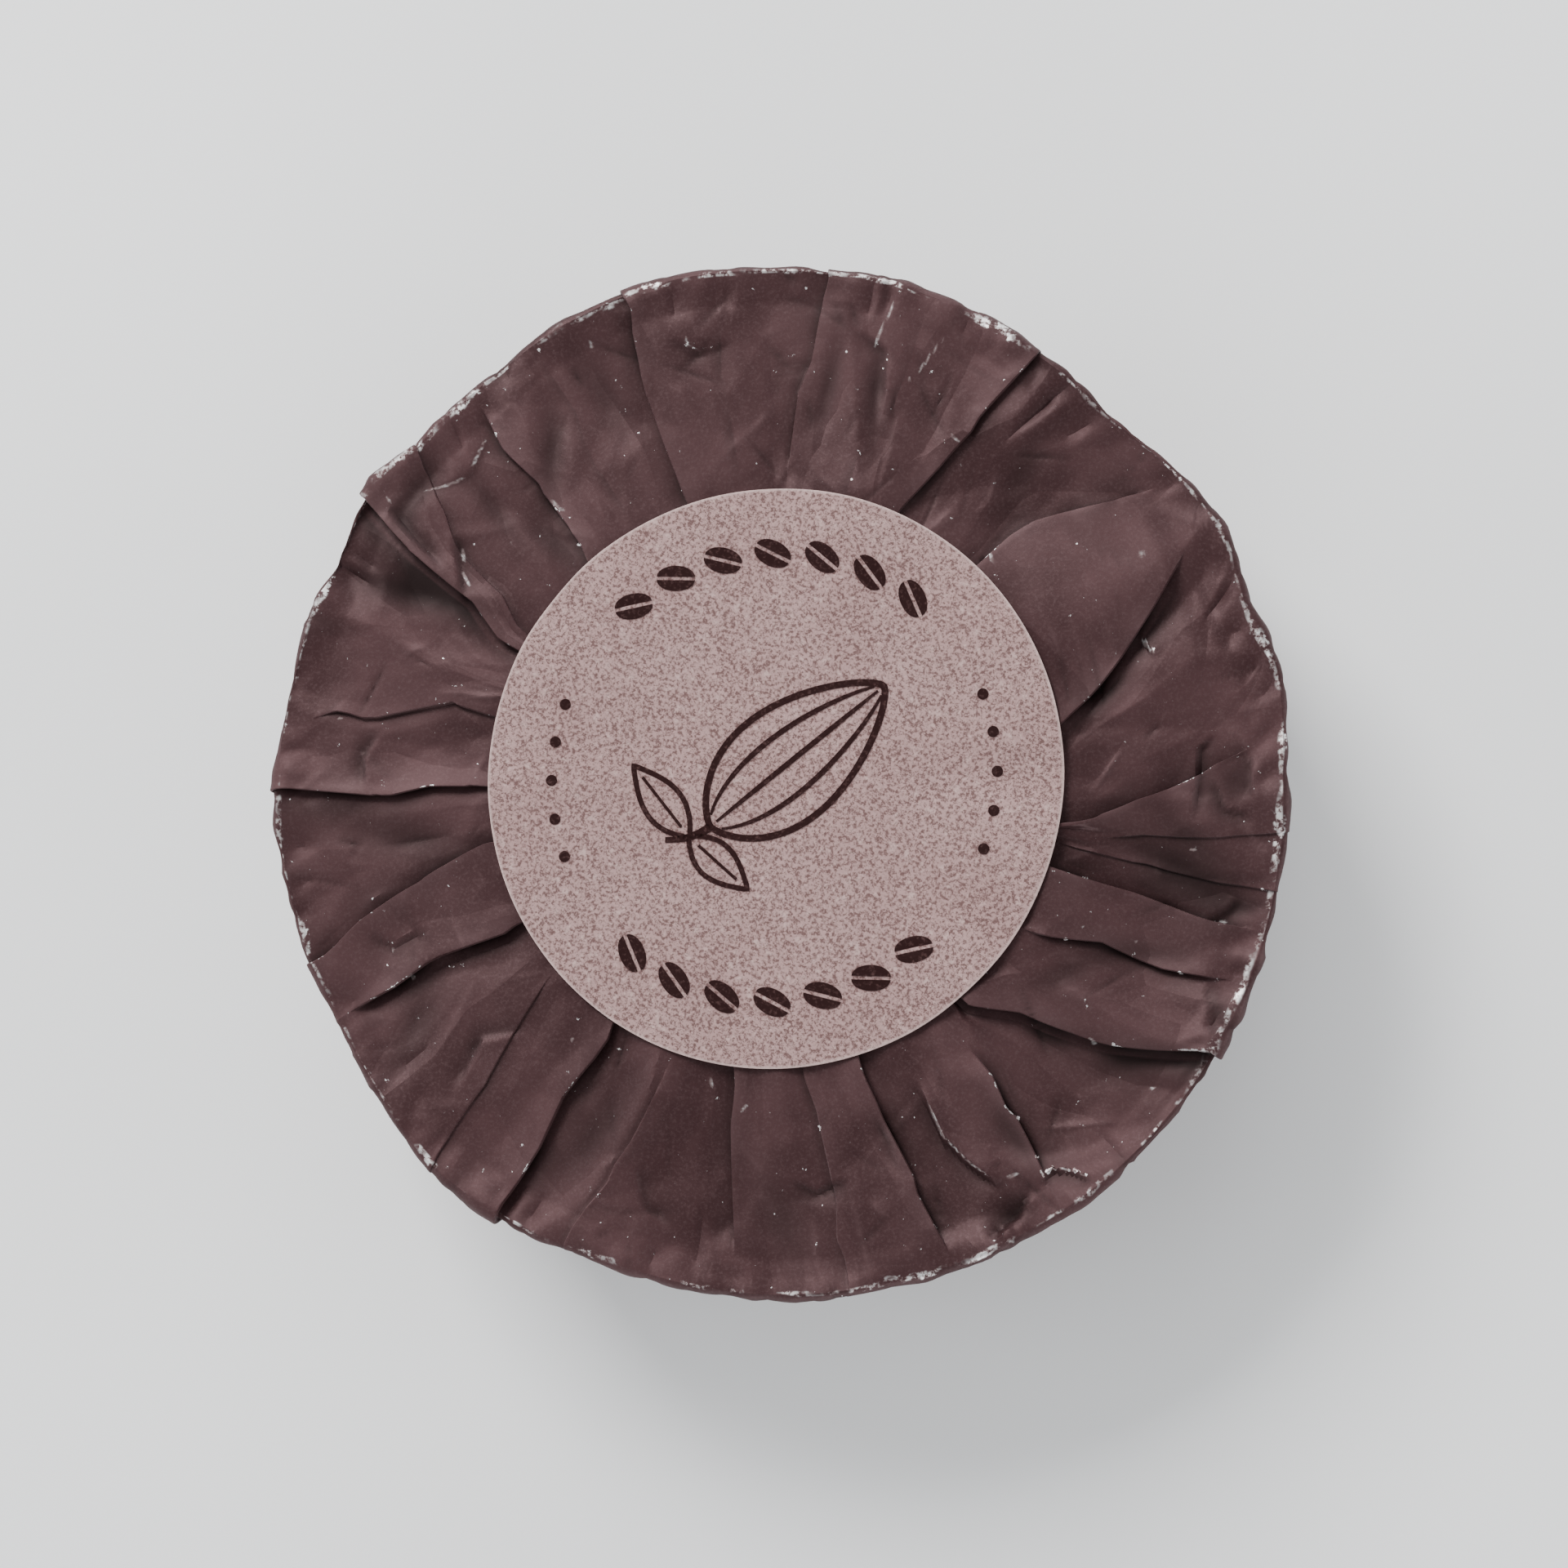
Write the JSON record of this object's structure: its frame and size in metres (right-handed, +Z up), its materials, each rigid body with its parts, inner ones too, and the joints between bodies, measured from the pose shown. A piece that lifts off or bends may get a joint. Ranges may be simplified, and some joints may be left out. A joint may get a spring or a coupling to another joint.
{
  "type": "foil-wrapped chocolate disc",
  "caption": "Low round chocolate in shut brown foil: smooth rounded face down, fluted tapered side, pleats gathered under a round paper label on top.",
  "frame": {"origin": "middle of the smooth flat face, on the surface the disc lies on", "axes": "+Z up through the disc's thickness, towards the gathered side and its label; +Y towards the top of the disc as seen from above; +X to the right"},
  "size_m": [0.0398, 0.0402, 0.0098],
  "materials": {
    "foil": "satin brown lacquer on thin aluminium foil, worn to bare metal in flecks along the rim",
    "paper": "uncoated speckled paper sticker, pinkish beige, with a small dark brown print of simple shapes"
  },
  "bodies": {
    "root": {"wrapped_disc": "foil", "label": "paper"}
  },
  "joints": []
}
